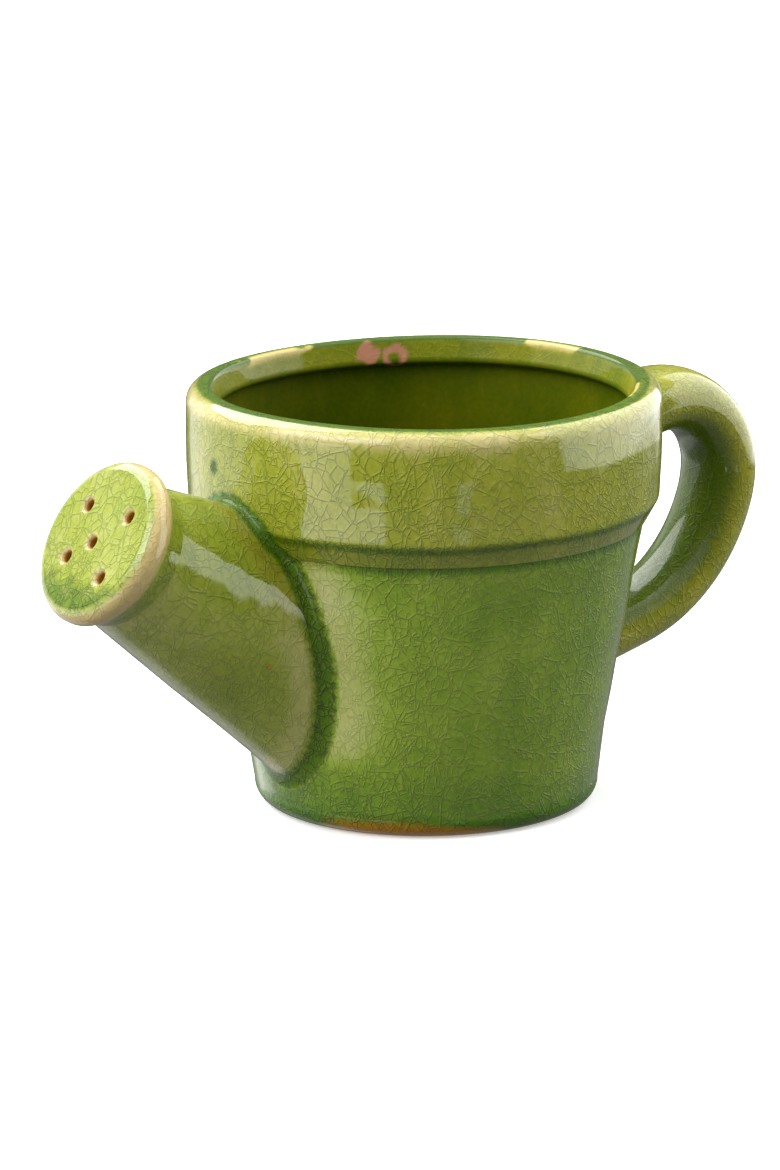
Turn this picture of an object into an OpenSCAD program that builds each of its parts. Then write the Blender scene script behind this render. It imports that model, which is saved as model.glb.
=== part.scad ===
// Glazed stoneware watering can: a tapered pot with a heavy rim band, a wide
// lofted spout that ends in a five-hole rose, and a thick ear-shaped handle.
// Origin: centre of the foot, on the table. +Z is up and +X points to the spout.

/* [Pot] */
// Outside diameter of the rim band
rim_d = 120; // [90:1:160]
// Height from the table to the top of the rim
pot_h = 106.3; // [80:0.1:140]
// Outside diameter just above the rounded foot
foot_d = 86.6; // [60:0.2:104]
// Radius of the rounding under the foot
foot_round = 5; // [2:0.1:8]
// Thickness of the pot's wall
wall = 5; // [3:0.1:7]
// Thickness of the pot's floor
floor_t = 6; // [3:0.1:10]
// Height of the foot ring, which lifts the floor off the table
foot_h = 2; // [1:0.1:4]
// Width of the foot ring's bare standing face
foot_w = 5; // [3:0.1:12]

/* [Rim band] */
// Height of the rim band
band_h = 34.4; // [20:0.1:50]
// How far the band stands proud of the tapered body
band_proud = 4.4; // [2:0.1:8]
// Height of the bevel under the band
band_bevel = 6.1; // [3:0.1:10]
// Radius of the rounding on the rim's outer edge
rim_round = 4; // [1:0.1:5]
// Width of the rim's top, from the outside to the inner edge
lip_w = 6.5; // [5:0.1:10]
// How far the lip hangs in past its own inner edge
lip_lean = 1.7; // [0.5:0.1:4]
// Depth of the lip's inner face
lip_h = 6.3; // [3:0.1:12]
// Height of the slope back under the lip
lip_under = 1.5; // [0.5:0.1:5]

/* [Spout] */
// Distance from the pot's axis to the middle of the spout's neck
neck_x = 90.9; // [80:0.1:120]
// Height of the middle of the neck below the top of the rim
neck_drop = 30.2; // [20:0.1:50]
// Slope of the spout above level
spout_tilt = 31; // [15:0.5:50]
// Outside diameter of the round neck
neck_d = 35.8; // [28:0.1:50]
// Growth of the spout's half height for each mm down the loft
loft_high = 0.185; // [0.05:0.005:0.3]
// Growth of the spout's half width for each mm down the loft
loft_wide = 0.052; // [0:0.002:0.15]
// Thickness of the spout's wall
spout_wall = 4; // [2.5:0.1:6]
// Diameter of the port from the pot into the spout
port_d = 18; // [8:0.5:24]
// Height of the port's middle above the inside floor
port_up = 30; // [14:0.5:40]

/* [Rose] */
// Outside diameter of the rose's collar
rose_d = 42.2; // [32:0.1:56]
// Outside diameter of the collar's back edge
collar_d = 39.3; // [30:0.1:52]
// Length of the collar, from the neck to its front edge
rose_len = 8.7; // [6:0.1:14]
// Radius of the rounding on the collar's front edge
rose_round = 3.5; // [1:0.1:4]
// Depth of the perforated plate below the collar's front edge
plate_sink = 0.6; // [0:0.1:3]
// Thickness of the perforated plate
plate_t = 4; // [2.5:0.1:5]
// Diameter of each pouring hole
hole_d = 3; // [1.5:0.1:5]
// Radius of the circle through the outer pouring holes
hole_ring_r = 11.3; // [8:0.1:13]

/* [Handle] */
// Thickness of the strap where it leaves the band, across its bend
strap_t = 17.4; // [10:0.1:20]
// Width of the strap where it leaves the band
strap_w = 25; // [18:0.1:32]
// Share of the section that the strap loses on its way down
strap_taper = 0.12; // [0:0.01:0.3]
// Height below the rim of the point where the strap leaves the band
strap_drop = 20.7; // [14:0.1:30]
// Slope of the strap where it leaves the band
strap_rise = 46.7; // [30:0.1:60]
// Bend radius over the top of the handle
bend_top = 20; // [16:0.1:30]
// Bend radius at the back of the handle
bend_back = 27.1; // [20:0.1:40]
// Bend radius where the handle sweeps in to the body
bend_low = 43.1; // [30:0.1:60]

/* [Joints] */
// Size of the clay coil that fills the corner around each joint
lute = 1.6; // [0.8:0.1:3]

/* [Hidden] */
$fn = 96;
eps = 0.01;
hull_fn = 64;
strap_sides = 32;

glaze_green = [0.45, 0.55, 0.24];
glaze_light = [0.60, 0.66, 0.36];
glaze_dark = [0.25, 0.34, 0.12];
bare_clay = [0.66, 0.50, 0.34];

rim_r = rim_d / 2;
foot_r = foot_d / 2;
body_r = rim_r - band_proud;
band_z = pot_h - band_h;
floor_z = foot_h + floor_t;
floor_r = foot_r - wall;
edge_gap = 0.4;
band_draft = 0.3;

neck_z = pot_h - neck_drop;
neck_r = neck_d / 2;
collar_r = collar_d / 2;
// the loft runs on from the neck until it is well inside the pot
loft_len = (neck_x - foot_r / 2) / cos(spout_tilt);
root_high = neck_d + 2 * loft_high * loft_len;
root_wide = neck_d + 2 * loft_wide * loft_len;
rose_r = rose_d / 2;
plate_r = rose_r - rose_round;
port_z = floor_z + port_up;

// turns of the handle's three bends, in degrees, from the band down to the body
turns = [139.9, 14.9, 56.5];
bends = [bend_top, bend_back, bend_low];
strap_s = rim_r - 1;
strap_z = pot_h - strap_drop;
stub = 14;
// stations in each bend, and the length of the last run into the body's wall
steps = [14, 2, 11];
tail = (bend_start(3)[0] - body_at(bend_start(3)[1]) + wall) / -cos(heading(3));

// points of an arc about c, from angle a to angle b
function arc(c, r, a, b, n = 8) =
    [for (i = [0:n]) c + r * [cos(a + (b - a) * i / n), sin(a + (b - a) * i / n)]];

// outside radius of the tapered body at height z
function body_at(z) =
    foot_r + (body_r - foot_r) * (z - foot_round) / (band_z - foot_round);

// heading of the strap at the start of bend k
function heading(k) = k == 0 ? strap_rise : heading(k - 1) - turns[k - 1];

// start of bend k, as [distance from the pot's axis, height]
function bend_start(k) =
    k == 0 ? [strap_s, strap_z]
    : bend_mid(k - 1) + bends[k - 1] * [-sin(heading(k)), cos(heading(k))];

// centre of bend k
function bend_mid(k) = bend_start(k) + bends[k] * [sin(heading(k)), -cos(heading(k))];

// whole outside of the pot as one solid, grown outwards by g
module pot_solid(g = 0) {
    rotate_extrude()
        polygon(concat(
            [[0, -g]],
            arc([foot_r - foot_round, foot_round], foot_round + g, -90, 0),
            [
                [body_r + g, band_z - g],
                [body_r + edge_gap + g, band_z - g],
                [rim_r - band_draft + g, band_z + band_bevel - g]
            ],
            arc([rim_r - rim_round, pot_h - rim_round], rim_round + g, 0, 90),
            [[0, pot_h + g]]
        ));
}

// inside of the pot below the band, from the table up
module pot_hollow() {
    rotate_extrude()
        polygon([
            [0, -1],
            [floor_r, -1],
            [floor_r, floor_z],
            [body_r - wall, band_z],
            [body_r - wall, band_z + 1],
            [0, band_z + 1]
        ]);
}

// round port through the pot's wall into the spout
module port() {
    translate([0, 0, port_z])
        rotate([0, 90, 0])
            cylinder(d = port_d, h = rim_r);
}

// frame of the spout: origin at the neck, +Z along the spout towards the rose
module at_neck() {
    translate([neck_x, 0, neck_z])
        rotate([0, 90 - spout_tilt, 0])
            children();
}

// lofted solid of the spout, grown by g on its sides
module spout_solid(g = 0) {
    at_neck()
        hull() {
            translate([0, 0, -eps])
                cylinder(r = neck_r + g, h = eps, $fn = hull_fn);
            translate([0, 0, -loft_len])
                scale([(root_high / 2 + g) / neck_r, (root_wide / 2 + g) / neck_r, 1])
                    cylinder(r = neck_r, h = eps, $fn = hull_fn);
        }
}

// stations along the strap: [distance from the pot's axis, height, heading]
function strap_path() = concat(
    [[
        strap_s - stub * cos(strap_rise),
        strap_z - stub * sin(strap_rise),
        strap_rise
    ]],
    [for (k = [0:2]) for (i = [0:steps[k] - 1]) strap_station(k, i / steps[k])],
    [concat(bend_start(3), [heading(3)])],
    [[
        body_at(bend_start(3)[1]) - wall,
        bend_start(3)[1] + tail * sin(heading(3)),
        heading(3)
    ]]
);

// station at share t of bend k
function strap_station(k, t) =
    let (a = heading(k) - t * turns[k])
    concat(bend_mid(k) + bends[k] * [-sin(a), cos(a)], [a]);

// ring of points around a station, with its section scaled by f and grown by g
function strap_ring(s, f, g) = [
    for (j = [0:strap_sides - 1])
        let (
            t = 360 * j / strap_sides,
            up = (f * strap_t / 2 + g) * cos(t),
            out = (f * strap_w / 2 + g) * sin(t)
        )
        [s[0] - up * sin(s[2]), s[1] + up * cos(s[2]), out]
];

// whole strap in its own plane: x away from the pot, y up
module strap_flat(g = 0) {
    path = strap_path();
    last = len(path) - 1;
    polyhedron(
        points = [
            for (i = [0:last])
                each strap_ring(path[i], 1 - strap_taper * i / last, g)
        ],
        faces = concat(
            [[for (j = [0:strap_sides - 1]) j]],
            [
                for (i = [0:last - 1], j = [0:strap_sides - 1])
                    let (n = (j + 1) % strap_sides, low = i * strap_sides)
                    [low + n, low + j, low + strap_sides + j, low + strap_sides + n]
            ],
            [[for (j = [strap_sides - 1:-1:0]) last * strap_sides + j]]
        )
    );
}

module strap_solid(g = 0) {
    rotate([90, 0, 180])
        strap_flat(g);
}

// corner coil where a piece meets the pot: its grown shape within the pot's grown skin
module corner_coil(low, high) {
    intersection() {
        pot_solid(lute);
        translate([-200, -200, low])
            cube([400, 400, high - low]);
        children();
    }
}

module pot_wall() {
    color(glaze_green)
        difference() {
            intersection() {
                pot_solid();
                translate([0, 0, foot_h])
                    cylinder(r = body_r, h = band_z - foot_h);
            }
            pot_hollow();
            port();
        }
}

module pot_floor() {
    color(glaze_dark)
        translate([0, 0, foot_h])
            cylinder(r = floor_r, h = floor_t);
}

module foot_ring() {
    color(bare_clay)
        difference() {
            intersection() {
                pot_solid();
                cylinder(r = rim_r, h = foot_h);
            }
            translate([0, 0, -1])
                cylinder(r = foot_r - foot_round - foot_w, h = foot_h + 2);
        }
}

module rim_band() {
    color(glaze_light)
        rotate_extrude()
            polygon(concat(
                [
                    [body_r - wall, band_z],
                    [body_r + edge_gap, band_z],
                    [rim_r - band_draft, band_z + band_bevel]
                ],
                arc([rim_r - rim_round, pot_h - rim_round], rim_round, 0, 90),
                [
                    [rim_r - lip_w, pot_h],
                    [rim_r - lip_w - lip_lean, pot_h - lip_h],
                    [rim_r - wall, pot_h - lip_h - lip_under],
                    [rim_r - wall - band_draft, band_z + band_bevel]
                ]
            ));
}
module spout_shell() {
    color(glaze_green)
        difference() {
            spout_solid();
            spout_solid(-spout_wall);
            pot_solid();
        }
}

module spout_luting() {
    color(glaze_dark)
        difference() {
            corner_coil(foot_h, pot_h)
                spout_solid(lute);
            pot_solid();
            spout_solid();
        }
}

module rose_collar() {
    color(glaze_light)
        at_neck()
            rotate_extrude()
                polygon(concat(
                    [
                        [neck_r - spout_wall, 0],
                        [collar_r, 0],
                        [rose_r, rose_len - rose_round - 1]
                    ],
                    arc([rose_r - rose_round, rose_len - rose_round], rose_round, 0, 90),
                    [
                        [plate_r, rose_len - plate_sink - plate_t],
                        [neck_r - spout_wall, rose_len - plate_sink - plate_t]
                    ]
                ));
}

module rose_plate() {
    color(glaze_green)
        at_neck()
            difference() {
                translate([0, 0, rose_len - plate_sink - plate_t])
                    cylinder(r = plate_r, h = plate_t);
                cylinder(d = hole_d, h = rose_len);
                for (a = [42, 137, 217, 312])
                    rotate([0, 0, a])
                        translate([hole_ring_r, 0, 0])
                            cylinder(d = hole_d, h = rose_len);
            }
}

module handle_strap() {
    color(glaze_green)
        difference() {
            strap_solid();
            pot_solid();
        }
}

module handle_top_luting() {
    color(glaze_dark)
        difference() {
            corner_coil(pot_h / 2, pot_h)
                strap_solid(lute);
            pot_solid();
            strap_solid();
        }
}

module handle_bottom_luting() {
    color(glaze_dark)
        difference() {
            corner_coil(foot_h, pot_h / 2)
                strap_solid(lute);
            pot_solid();
            strap_solid();
        }
}

pot_wall();
pot_floor();
foot_ring();
rim_band();
spout_shell();
spout_luting();
rose_collar();
rose_plate();
handle_strap();
handle_top_luting();
handle_bottom_luting();
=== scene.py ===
import math

import bmesh
import bpy
import numpy as np
from mathutils import Matrix, Vector
from mathutils.kdtree import KDTree


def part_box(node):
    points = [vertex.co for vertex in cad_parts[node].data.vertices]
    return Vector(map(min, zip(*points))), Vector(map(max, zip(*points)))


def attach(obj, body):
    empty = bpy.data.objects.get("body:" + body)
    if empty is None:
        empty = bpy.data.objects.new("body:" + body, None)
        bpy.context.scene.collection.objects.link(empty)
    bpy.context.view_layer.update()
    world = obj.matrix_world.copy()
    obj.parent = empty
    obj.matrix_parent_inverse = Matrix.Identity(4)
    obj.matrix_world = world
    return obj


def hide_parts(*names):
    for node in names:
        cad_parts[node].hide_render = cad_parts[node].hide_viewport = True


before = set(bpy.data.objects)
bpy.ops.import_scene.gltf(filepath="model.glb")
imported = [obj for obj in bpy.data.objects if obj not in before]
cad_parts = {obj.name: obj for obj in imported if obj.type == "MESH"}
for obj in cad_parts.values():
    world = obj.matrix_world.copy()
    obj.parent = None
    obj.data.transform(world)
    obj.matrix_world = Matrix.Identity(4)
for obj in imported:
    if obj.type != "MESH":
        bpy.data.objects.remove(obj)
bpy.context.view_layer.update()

# ---------------------------------------------------------------------------
# Studio: the can stands on a plain white table in soft daylight. A tall window
# is behind it on the left, a softer one in front on the left and a wide one on
# the right. The rest of the room is dim, so the glaze has few, clear reflections.
# ---------------------------------------------------------------------------
view_turn = math.radians(36.2)
view_rise = math.radians(14.27)
towards = Vector(
    (
        math.cos(view_rise) * math.sin(view_turn),
        math.cos(view_rise) * math.cos(view_turn),
        math.sin(view_rise),
    )
)
sideways = Vector((-math.cos(view_turn), math.sin(view_turn), 0.0))
upwards = towards.cross(sideways)
lens = bpy.data.cameras.new("camera")
lens.lens = 197.0
lens.sensor_width = 36.0
lens.clip_start = 0.1
lens.clip_end = 60.0
lens.shift_x = -0.0303
lens.shift_y = 0.0130
camera = bpy.data.objects.new("camera", lens)
bpy.context.collection.objects.link(camera)
turned_view = Matrix((sideways, upwards, towards)).transposed()
camera.matrix_world = Matrix.Translation(Vector((0, 0, 0.05)) + towards * 1.6) @ (
    turned_view @ Matrix.Rotation(math.radians(-0.28), 3, "Z")
).to_4x4()
bpy.context.scene.camera = camera
bpy.context.scene.view_settings.view_transform = "Standard"


def tree_tools(tree):
    """Short ways to build a node tree: a node, a link, a sum, a vector sum and a smooth step."""

    def add(kind, inputs=(), **settings):
        made = tree.nodes.new(kind)
        for key, value in settings.items():
            setattr(made, key, value)
        for key, value in dict(inputs).items():
            socket = made.inputs[key]
            if isinstance(value, bpy.types.NodeSocket):
                tree.links.new(value, socket)
            else:
                socket.default_value = value
        return made

    def join(a, b):
        tree.links.new(a, b)

    def maths(kind, a, b=0.0, clamp=False):
        return add(
            "ShaderNodeMath", {0: a, 1: b}, operation=kind, use_clamp=clamp
        ).outputs[0]

    def vector(kind, a, b):
        inputs = {0: a, "Scale": b} if kind == "SCALE" else {0: a, 1: b}
        return add("ShaderNodeVectorMath", inputs, operation=kind).outputs[0]

    def fade(value, low, high, a=0.0, b=1.0):
        ends = {"Value": value, "From Min": low, "From Max": high, "To Min": a, "To Max": b}
        return add("ShaderNodeMapRange", ends, interpolation_type="SMOOTHSTEP").outputs[0]

    return add, join, maths, vector, fade


room = bpy.data.worlds.new("daylight_room")
room.use_nodes = True
room.node_tree.nodes.clear()
add, join, maths, vector, fade = tree_tools(room.node_tree)
where = add("ShaderNodeTexCoord").outputs["Generated"]
apart = add("ShaderNodeSeparateXYZ", {0: where})
rise = maths("DEGREES", maths("ARCSINE", apart.outputs["Z"]))


def window(turn, wide, low, high, soft, strength):
    """Brightness of one window, from the turn of its middle, its width and its edges in degrees."""
    a = math.radians(turn)

    def part(u, v):
        inputs = {0: where, 1: (u, v, 0.0)}
        return add("ShaderNodeVectorMath", inputs, operation="DOT_PRODUCT").outputs["Value"]

    across, ahead = part(-math.sin(a), math.cos(a)), part(math.cos(a), math.sin(a))
    off = maths("DEGREES", maths("ABSOLUTE", maths("ARCTAN2", across, ahead)))
    glow = strength
    for value, edge, way in ((off, wide / 2, -1), (rise, low, 1), (rise, high, -1)):
        glow = maths("MULTIPLY", glow, fade(value, edge - way * soft, edge + way * soft))
    return glow


glow = fade(rise, -19.0, -15.0, 0.34, 0.16)
# the room's lights as turn, width, lower edge, upper edge, softness, strength:
# the ceiling's glow in two steps, the three windows, then pale walls and boards
# low down that mostly show as reflections
lights = (
    (0, 360, 34, 100, 10, 0.80),
    (0, 360, 70, 100, 8, 1.0),
    (-79, 66, 26, 67, 2, 6.5),
    (0, 60, 22, 60, 12, 5.4),
    (170, 90, -12, 56, 2, 3.0),
    (-54, 92, -24, 20, 6, 1.5),
    (4, 26, -24, 2, 1.0, 2.3),
    (25, 16, -24, -15.5, 1.0, 2.1),
    (74, 9, -22, -13, 1.0, 1.0),
    (-92, 36, -60, -18, 6, 0.6),
)
for light in lights:
    glow = maths("ADD", glow, window(*light))
backing = add("ShaderNodeBackground", {"Strength": glow})
add("ShaderNodeOutputWorld", {"Surface": backing.outputs[0]})
bpy.context.scene.world = room

table = bpy.data.meshes.new("table")
table_half = 30.0
table.from_pydata(
    [(x * table_half, y * table_half, 0) for x, y in ((-1, -1), (1, -1), (1, 1), (-1, 1))],
    [],
    [(0, 1, 2, 3)],
)
table_ob = bpy.data.objects.new("table", table)
bpy.context.collection.objects.link(table_ob)
white = bpy.data.materials.new("white_table")
white.use_nodes = True
white.node_tree.nodes.clear()
add, join, maths, vector, fade = tree_tools(white.node_tree)
matt = add("ShaderNodeBsdfDiffuse", {"Color": (0.93, 0.93, 0.93, 1.0)})
lit = add("ShaderNodeEmission", {"Strength": 0.35})
both = add("ShaderNodeAddShader", {0: matt.outputs[0], 1: lit.outputs[0]})
add("ShaderNodeOutputMaterial", {"Surface": both.outputs[0]})
table.materials.append(white)
table_ob.visible_glossy = False
table_ob.visible_diffuse = False

# ---------------------------------------------------------------------------
# Pot wall: stoneware thrown as a plain taper, then dipped in a translucent
# green glaze that crazed all over as it cooled. It is hollow, a little uneven
# from the hand, and pierced by one port that feeds the spout.
# ---------------------------------------------------------------------------
MM = 0.001
wall_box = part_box("pot_wall")
band_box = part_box("rim_band")
floor_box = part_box("pot_floor")
rim_r = band_box[1][0] / MM
rim_z = band_box[1][2] / MM
band_z = band_box[0][2] / MM
body_r = wall_box[1][0] / MM
foot_z = wall_box[0][2] / MM
floor_z = floor_box[1][2] / MM
floor_r = floor_box[1][0] / MM
wall_t = 5.0
foot_r = floor_r + wall_t
foot_round = 5.0
foot_split = math.acos(1 - foot_z / foot_round)
amber_turn = 0.84
weld = 1e-6


def rounded(corners, step=0.9, closed=True):
    """Outline through corners (x, y, radius), each corner turned to an arc, with even points."""
    n = len(corners)
    xy = np.array([c[:2] for c in corners], float)
    line = []
    for i in range(n):
        p, q, s = xy[i - 1], xy[i], xy[(i + 1) % n]
        r = corners[i][2]
        if r <= 0 or (not closed and i in (0, n - 1)):
            line.append(q)
            continue
        a, b = (p - q) / np.linalg.norm(p - q), (s - q) / np.linalg.norm(s - q)
        bend = math.acos(max(-1.0, min(1.0, float(a @ b))))
        if bend > math.pi - 0.01:
            line.append(q)
            continue
        back = r / math.tan(bend / 2)
        mid = q + (a + b) / np.linalg.norm(a + b) * r / math.sin(bend / 2)
        u, v = q + a * back - mid, q + b * back - mid
        sweep = math.pi - bend
        turn = 1.0 if u[0] * v[1] - u[1] * v[0] > 0 else -1.0
        count = max(3, int(sweep * r / (0.4 * step)) + 2)
        for k in range(count + 1):
            t = turn * sweep * k / count
            c, d = math.cos(t), math.sin(t)
            line.append(mid + np.array([c * u[0] - d * u[1], d * u[0] + c * u[1]]))
    fine = []
    last = len(line) if closed else len(line) - 1
    for i in range(last):
        p, q = line[i], line[(i + 1) % len(line)]
        count = max(1, int(np.linalg.norm(q - p) / step))
        fine += [p + (q - p) * k / count for k in range(count)]
    if not closed:
        fine.append(line[-1])
    return np.array(fine)


def geometry_tree(name, inputs):
    """Starts a tree with inputs (name, kind, default). Gives the tree and its input sockets."""
    tree = bpy.data.node_groups.new(name, "GeometryNodeTree")
    for label, kind, default in inputs:
        socket = tree.interface.new_socket(
            label, in_out="INPUT", socket_type="NodeSocket" + kind
        )
        if default is not None:
            socket.default_value = default
    tree.interface.new_socket(
        "Result", in_out="OUTPUT", socket_type="NodeSocketGeometry"
    )
    return tree, tree_tools(tree)[0]("NodeGroupInput").outputs


def finish_tree(tree, shape, material):
    """Ends a tree with its instances made real and one glaze set."""
    add, join, maths, vector, fade = tree_tools(tree)
    whole = add("GeometryNodeRealizeInstances", {"Geometry": shape})
    coated = add(
        "GeometryNodeSetMaterial", {"Geometry": whole.outputs[0], "Material": material}
    )
    join(coated.outputs[0], add("NodeGroupOutput").inputs["Result"])
    return tree


def wheel_tree():
    """Geometry nodes that turn an outline, given as points (radius, 0, height), about +Z."""
    tree, given = geometry_tree(
        "turn_on_the_wheel",
        (
            ("Outline", "Geometry", None),
            ("Points", "Int", 10),
            ("Turns", "Int", 240),
            ("Glaze", "Material", None),
        ),
    )
    add, join, maths, vector, fade = tree_tools(tree)
    rows = maths("ADD", given["Points"], 1.0)
    cols = maths("ADD", given["Turns"], 1.0)
    sheet = add("GeometryNodeMeshGrid", {"Vertices X": cols, "Vertices Y": rows})
    index = add("GeometryNodeInputIndex").outputs[0]
    wrapped = maths("MODULO", maths("MODULO", index, rows), given["Points"])
    col = maths("FLOOR", maths("DIVIDE", index, rows))
    angle = maths("MULTIPLY", maths("DIVIDE", col, given["Turns"]), math.tau)
    point = add(
        "GeometryNodeSampleIndex",
        {"Geometry": given["Outline"], "Index": wrapped},
        data_type="FLOAT_VECTOR",
        domain="POINT",
        clamp=True,
    )
    here = add("GeometryNodeInputPosition")
    join(here.outputs[0], point.inputs["Value"])
    spun = add(
        "ShaderNodeVectorRotate",
        {"Vector": point.outputs["Value"], "Angle": angle},
        rotation_type="Z_AXIS",
    )
    placed = add(
        "GeometryNodeSetPosition",
        {"Geometry": sheet.outputs["Mesh"], "Position": spun.outputs[0]},
    )
    welded = add(
        "GeometryNodeMergeByDistance",
        {"Geometry": placed.outputs[0], "Distance": weld},
    )
    sides = add("GeometryNodeInputMeshEdgeNeighbors")
    trimmed = add(
        "GeometryNodeDeleteGeometry",
        {
            "Geometry": welded.outputs[0],
            "Selection": maths("LESS_THAN", sides.outputs[0], 0.5),
        },
        domain="EDGE",
        mode="EDGE_FACE",
    )
    return finish_tree(tree, trimmed.outputs[0], given["Glaze"])


def run_tree(name, start, tree, values):
    """Runs a geometry node tree on the mesh start and returns the result as a new plain mesh."""
    holder = bpy.data.objects.new(name + "_start", start)
    bpy.context.collection.objects.link(holder)
    step = holder.modifiers.new("shape", "NODES")
    step.node_group = tree
    for item in tree.interface.items_tree:
        if item.in_out == "INPUT" and item.name in values:
            step[item.identifier] = values[item.name]
    bpy.context.view_layer.update()
    graph = bpy.context.evaluated_depsgraph_get()
    mesh = bpy.data.meshes.new_from_object(holder.evaluated_get(graph), depsgraph=graph)
    bpy.data.objects.remove(holder)
    mesh.name = name
    return mesh


def outline_mesh(points):
    """A loose mesh of outline points (radius, height) in mm."""
    mesh = bpy.data.meshes.new("outline")
    mesh.from_pydata([(p[0] * MM, 0.0, p[1] * MM) for p in points], [], [])
    return mesh


def mesh_points(mesh):
    """The mesh's vertices as an array, in mm."""
    flat = np.empty(len(mesh.vertices) * 3, np.float32)
    mesh.vertices.foreach_get("co", flat)
    return flat.reshape(-1, 3).astype(float) / MM


def outward(mesh):
    """Turns a closed mesh right side out and drops stray points."""
    form = bmesh.new()
    form.from_mesh(mesh)
    stray = [v for v in form.verts if not v.link_faces]
    bmesh.ops.delete(form, geom=stray, context="VERTS")
    if form.calc_volume(signed=True) < 0:
        bmesh.ops.reverse_faces(form, faces=form.faces)
    form.to_mesh(mesh)
    form.free()
    return mesh


wheel = wheel_tree()


def thrown(name, outline, turns, material):
    """A closed piece turned on the wheel from its outline (radius, height) in mm."""
    values = {"Points": len(outline), "Turns": turns, "Glaze": material}
    return outward(run_tree(name, outline_mesh(outline), wheel, values))


def body_radius(z):
    """Outside radius of the pot's tapered wall at height z."""
    return foot_r + (body_r - foot_r) * (z - foot_round) / (band_z - foot_round)


def hand(p):
    """The hand's unevenness: a smooth drift that moves every piece alike, in mm."""
    x, y, z = p[:, 0], p[:, 1], p[:, 2]
    turn = np.arctan2(y, x)
    far = np.hypot(x, y)
    near = np.clip(far / 30.0, 0, 1) * np.clip(z / 20.0, 0, 1)
    beyond = np.clip((75.0 - far) / 12.0, 0, 1)
    swell = (
        0.32 * np.sin(2 * turn + 0.6)
        + 0.20 * np.sin(3 * turn + 2.1 + z / 60)
        + 0.12 * np.sin(5 * turn - 0.8 - z / 34)
        - 0.64
    ) * near * beyond
    ring = 0.10 * np.sin(z / 3.7 + 0.8 * np.sin(turn)) * near * beyond
    moved = p.copy()
    scale = 1 + (swell + ring * 0.6) / np.maximum(far, 1e-6)
    moved[:, 0] *= scale
    moved[:, 1] *= scale
    dip = 0.35 * (1 + np.sin(turn * 2 - 1.9)) * np.clip((z - 60) / 46, 0, 1) * beyond
    moved[:, 2] -= dip
    return moved


def near_line(p, line):
    """Distance from each point of p to the closed line, in mm."""
    tree = KDTree(len(line))
    for i, q in enumerate(line):
        tree.insert(q, i)
    tree.balance()
    return np.array([tree.find(q)[2] for q in p])


def ramp(value, low, high):
    """0 below low, 1 above high, smooth between. low may be above high."""
    t = np.clip((value - low) / (high - low), 0, 1)
    return t * t * (3 - 2 * t)


def fire(name, mesh, coats, node, smooth=35.0):
    """Finishes a mesh in true place: its glaze coats, the hand's drift and its ties."""
    for key, values in coats.items():
        layer = mesh.attributes.new(key, "FLOAT", "POINT")
        layer.data.foreach_set("value", np.clip(values, 0, 1).astype(np.float32))
    moved = hand(mesh_points(mesh))
    mesh.vertices.foreach_set("co", (moved * MM).astype(np.float32).ravel())
    piece = bpy.data.objects.new(name, mesh)
    bpy.context.collection.objects.link(piece)
    mesh.update()
    mesh.shade_smooth()
    mesh.set_sharp_from_angle(angle=math.radians(smooth))
    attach(piece, "root")
    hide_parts(node)
    return piece


# where the spout's loft meets the pot, which the coats on both sides follow
neck = np.array([90.9, 0.0, rim_z - 30.2])
spout_tilt = math.radians(31.0)
neck_r = 17.9
loft_high = 0.185
loft_wide = 0.052
loft_reach = 74.0
down_spout = np.array([-math.cos(spout_tilt), 0.0, -math.sin(spout_tilt)])
over_spout = np.array([-math.sin(spout_tilt), 0.0, math.cos(spout_tilt)])


def foot_arc(start, end, count):
    """Points (radius, height) on the foot's round, between two angles from straight down."""
    return [
        (
            foot_r - foot_round + foot_round * math.sin(a),
            foot_round - foot_round * math.cos(a),
        )
        for a in np.linspace(start, end, count)
    ]


# the band's outside, from its lower edge up to its flat rim
band_corners = [
    (body_r + 0.4, band_z, 0.7),
    (rim_r - 0.6, band_z + 6.1, 3.0),
    (rim_r - 0.05, band_z + 15.0, 30.0),
    (rim_r, rim_z - 12.0, 30.0),
    (rim_r - 0.25, rim_z, 4.0),
]
outside = np.vstack(
    [
        [[foot_r - foot_round, 0.0]],
        foot_arc(0, math.pi / 2, 12),
        [[body_radius(z), z] for z in np.linspace(foot_round + 1, band_z - 1, 60)],
        rounded(
            [
                (body_r - 0.3, band_z - 0.6, 0),
                *band_corners,
                (rim_r - 6.5, rim_z, 0),
            ],
            closed=False,
        ),
    ]
)
outside = outside[np.argsort(outside[:, 1], kind="stable")]


def pot_radius(z):
    """Outside radius of the whole pot at height z, band included."""
    return np.interp(z, outside[:, 1], outside[:, 0])


def spout_point(turn, down, grow=0.0):
    """Point on the spout's loft: turn about its axis from the top, down the loft from the neck."""
    high = neck_r + loft_high * down + grow
    wide = neck_r + loft_wide * down + grow
    up = np.multiply.outer(high * np.cos(turn), over_spout)
    out = np.multiply.outer(wide * np.sin(turn), np.array([0.0, 1.0, 0.0]))
    return neck + np.multiply.outer(down, down_spout) + up + out


def meet(point_at, length, depth=0.0):
    """How far along its own line each ruling first comes within depth of the pot's outside."""

    def hits(t):
        q = point_at(t)
        return np.hypot(q[:, 0], q[:, 1]) <= pot_radius(q[:, 2]) - depth

    found = np.full(length, loft_reach)
    done = np.zeros(length, bool)
    for w in np.linspace(0, 1, 160):
        t = loft_reach * w * np.ones(length)
        hit = hits(t) & ~done
        found[hit] = t[hit]
        done |= hit
    low, high = found - loft_reach / 159, found.copy()
    for _ in range(24):
        mid = (low + high) / 2
        hit = hits(mid)
        high = np.where(hit, mid, high)
        low = np.where(hit, low, mid)
    return (low + high) / 2


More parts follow.
